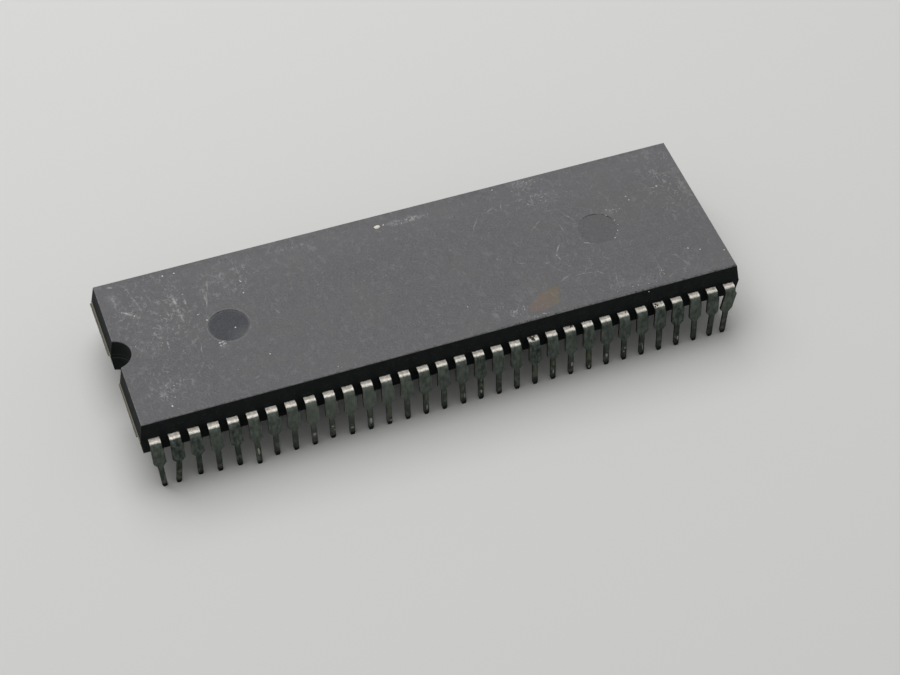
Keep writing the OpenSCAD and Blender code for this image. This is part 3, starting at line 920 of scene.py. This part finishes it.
seats.append((*on_front(px, pz, ["body"]), (half, 0.8 * half, half * GRAIN_HEIGHT), 0))
grain = lump("grain", jostle=0.25, seed=3, divisions=2)
place_copies(grain, "dust_grains", seats, dust)

# %% Crushed flakes
# Crushed silica filler: glassy flakes thinner than paper, so fine that they look pale grey
silica = two_tone("crushed_silica", TONE, "#8a8a8a", "#c2c2c1", Roughness=0.6)

# Centre, reach in x and y, and number of the flakes in a cluster
CLUSTERS = [
    (-26.3, 4.4, 0.7, 0.6, 9), (-21.8, 4.4, 0.25, 0.6, 6), (-21.8, 2.2, 0.2, 1.2, 8),
    (-20.95, 3.9, 0.2, 1.0, 7), (-19.05, -1.9, 0.4, 0.35, 12), (13.2, 7.9, 1.6, 0.5, 12),
    (14.7, 5.5, 1.0, 0.6, 8), (7.0, -7.2, 0.5, 0.5, 10), (21.7, -7.0, 0.6, 0.6, 6),
    (20.2, 1.8, 0.9, 0.6, 7), (-25.2, -0.4, 1.4, 1.0, 8), (-25.0, -5.4, 1.8, 1.2, 9),
    (9.0, -8.2, 2.0, 0.2, 9), (19.5, -7.8, 2.5, 0.4, 8), (1.6, 7.03, 1.8, 0.3, 16),
]
FLAKE_HALF = (0.025, 0.055)
FLAKE_STRETCH = (1.0, 1.8)
FLAKE_HEIGHT = 0.2  # as a share of the half width
seats = []
for cx, cy, reach_x, reach_y, count in CLUSTERS:
    for _ in range(count):
        at, normal = on_top(chance.gauss(cx, reach_x / 2), chance.gauss(cy, reach_y / 2))
        half = chance.uniform(*FLAKE_HALF)
        size = (half * chance.uniform(*FLAKE_STRETCH), half, half * FLAKE_HEIGHT)
        seats.append((at, normal, size, chance.uniform(0, 360)))

# The largest flakes, with their half lengths, half widths and turns. All but one lie by the
# front edge of the left mark
LARGE_FLAKE_HEIGHT = 0.02
LARGE_FLAKES = [
    (-19.35, -1.75, 0.16, 0.11, 10), (-19.05, -1.70, 0.15, 0.06, 20), (-19.35, -2.10, 0.12, 0.10, 0),
    (-18.85, -1.65, 0.10, 0.05, 15), (-15.55, 4.85, 0.14, 0.06, 70),
]
for px, py, half_length, half_width, angle in LARGE_FLAKES:
    seats.append((*on_top(px, py), (half_length, half_width, LARGE_FLAKE_HEIGHT), angle))
flake = lump("flake", jostle=0.3, seed=31, divisions=1)
place_copies(flake, "crushed_flakes", seats, silica)

# %% Wax drop
# Dried wax: a cream drop with a soft gloss, and one crumb that broke from it
wax = two_tone("dried_wax", TONE, "#cfcab4", "#efece0", Roughness=0.55)

# Place in plan, half sizes and turn of the drop and of the crumb
WAX = [((-1.5, 7.05), (0.30, 0.20, 0.08), 0), ((-0.85, 7.12), (0.09, 0.05, 0.03), 40)]
seats = [(*on_top(*plan), size, angle) for plan, size, angle in WAX]
drop = lump("drop", jostle=0.12, seed=5, divisions=3)
place_copies(drop, "wax_drop", seats, wax)

# %% [markdown]
# ## Solder and flux on the front pins
#
# When the chip was lifted, some solder froze on the pins as bright beads, and the
# flux that had boiled up out of the board's holes dried as a yellow-green skin just
# below the wide part. A few shoulders carry a dark crust of burnt flux.

# %% Solder beads
# Tin and lead solder, frozen from liquid: a bright smooth metal with a grey bloom
BLOOM = 0.12
solder = two_tone("frozen_solder", BLOOM, "#565a54", "#c6c6be", Metallic=1.0, Roughness=0.28)

# Lead, sideways offset from the pin's middle, height, half width and half length down the pin.
# The last pin is bent so far that the ray passes it, and that bead sits on the rear row
BEADS = [
    (6, 0.0, 1.5, 0.08, 0.4), (9, -0.02, 1.37, 0.12, 0.16), (10, 0.16, 1.10, 0.064, 0.128),
    (10, 0.0, 1.6, 0.128, 0.056), (11, 0.0, 0.93, 0.144, 0.096), (12, 0.0, 1.15, 0.12, 0.36),
    (13, 0.10, 0.50, 0.08, 0.112), (15, 0.05, 0.9, 0.064, 0.32), (17, 0.17, 1.04, 0.056, 0.304),
    (18, 0.0, 1.0, 0.08, 0.24), (22, 0.0, 1.0, 0.064, 0.24), (23, 0.08, 1.30, 0.08, 0.288),
    (24, 0.03, 0.35, 0.08, 0.144), (25, 0.0, 1.2, 0.096, 0.24), (26, 0.05, 1.5, 0.056, 0.12),
    (26, -0.05, 1.1, 0.064, 0.096), (27, 0.05, 1.1, 0.04, 0.48), (29, 0.10, 0.93, 0.08, 0.24),
    (32, 0.0, 0.6, 0.144, 0.048),
]
BEAD_HEIGHT = 0.04
BEAD_TURN = 8
PIN_MIDDLE = 0.07  # how far the pins lie off the centre line of their leads
seats = []
for number, aside, height, half_width, half_length in BEADS:
    found = on_front(lead_x(number) + PIN_MIDDLE + aside, height, LEAD_NODES)
    if found:
        size = (half_width, half_length, BEAD_HEIGHT)
        seats.append((*found, size, chance.uniform(-BEAD_TURN, BEAD_TURN)))
bead = lump("bead", jostle=0.22, seed=8, divisions=3)
place_copies(bead, "solder_beads", seats, solder)

# %% Flux skins
# Rosin flux, dried: a glassy yellow-green varnish
flux = two_tone("dried_rosin_flux", BLOOM, "#1d2410", "#4c5220", Roughness=0.3, IOR=1.53)

# Lead, height and half length down the pin
FLUXED = [
    (12, 2.1, 0.30), (13, 1.8, 0.36), (14, 2.1, 0.22), (15, 2.2, 0.50),
    (16, 2.2, 0.18), (17, 2.1, 0.34), (18, 2.5, 0.20), (18, 1.87, 0.22),
    (21, 2.0, 0.45), (22, 2.1, 0.36), (24, 1.7, 0.55),
]
SKIN_HALF = (0.11, 0.17)
SKIN_HEIGHT = 0.025
SKIN_TURN = 15
seats = []
for number, height, half_length in FLUXED:
    found = on_front(lead_x(number) + PIN_MIDDLE, height, LEAD_NODES)
    if found:
        size = (chance.uniform(*SKIN_HALF), half_length, SKIN_HEIGHT)
        seats.append((*found, size, chance.uniform(-SKIN_TURN, SKIN_TURN)))
skin = lump("skin", jostle=0.15, seed=12, divisions=2)
place_copies(skin, "flux_skins", seats, flux)

# %% Burnt crusts
# Burnt flux: brittle, black to brown, with a dull gloss
burnt = two_tone("burnt_flux", BLOOM, "#0e0c08", "#33271a", Roughness=0.45)

# Lead, sideways offset, distance of the place from the middle of the body, and half width
CRUSTS = [
    (21, -0.16, 8.98, 0.15), (21, -0.02, 9.06, 0.13), (21, 0.02, 9.28, 0.14),
    (21, -0.12, 9.22, 0.12), (21, 0.16, 8.92, 0.10), (28, -0.28, 9.05, 0.12),
    (28, -0.15, 9.2, 0.11), (28, -0.4, 9.3, 0.10), (23, 0.30, 8.92, 0.12),
    (23, 0.16, 9.0, 0.08), (26, 0.3, 9.0, 0.07),
]
FRONT_CRUST = (26, 0.34, 3.45, 0.13)  # lead, sideways offset, height and half width
CRUST_HEIGHT = 0.03
seats = []
for number, aside, out, half in CRUSTS:
    found = land((lead_x(number) + aside, -out, START), (0, 0, -1), LEAD_NODES)
    if found:
        seats.append((*found, (half, 0.8 * half, CRUST_HEIGHT), chance.uniform(0, 360)))
number, aside, height, half = FRONT_CRUST
found = on_front(lead_x(number) + aside, height, LEAD_NODES)
seats.append((*found, (half, half, CRUST_HEIGHT), 0))
crust = lump("crust", jostle=0.35, seed=21, divisions=2)
place_copies(crust, "flux_crusts", seats, burnt)

# %% [markdown]
# ## Flash at the notched end
#
# When the mould closed on the resin, a film of it crept out between the halves. Its
# outer edge tore off unevenly. The solids have the even part of this flash, and a
# ragged strip on each side of the notch adds the rest.

# %% Ragged flash
# Resin with little filler in it: a thin tan film, satin and slightly mottled
film = two_tone("thin_resin_flash", TONE, "#2e2b25", "#5e574a", Roughness=0.5)

FILM_THICKNESS = 0.04
FILM_OVERLAP = 0.05
RAGGED = 0.06
FILM_CUTS = 24
# Start and end across the body, reach out of the end at the middle, turn and seed
STRIPS = [
    (1.8, body_high.y - 0.35, 0.11, 0.2, 4),
    (body_low.y + 0.7, -1.8, 0.06, -0.5, 9),
]
strips = []
for start, end, reach, angle, seed in STRIPS:
    bpy.ops.mesh.primitive_cube_add(size=MM, scale=(reach + FILM_OVERLAP, end - start, 1))
    strip = bpy.context.object
    bpy.ops.object.mode_set(mode="EDIT")
    bpy.ops.mesh.subdivide(number_cuts=FILM_CUTS)
    bpy.ops.transform.vertex_random(offset=RAGGED * MM, uniform=1.0, normal=0.0, seed=seed)
    bpy.ops.object.mode_set(mode="OBJECT")
    strip.scale.z = FILM_THICKNESS
    strip.rotation_euler.z = math.radians(angle)
    middle_x = body_low.x + (FILM_OVERLAP - reach) / 2
    strip.location = Vector((middle_x, (start + end) / 2, PART_Z)) * MM
    strips.append(strip)
for strip in strips:
    strip.select_set(True)
bpy.ops.object.transform_apply(location=True, rotation=True, scale=True)
bpy.ops.object.join()
end_flash = bpy.context.object
end_flash.name = "end_flash"
end_flash.data.materials.append(film)
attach(end_flash, "root")
print("end_flash -", len(end_flash.data.polygons), "faces")
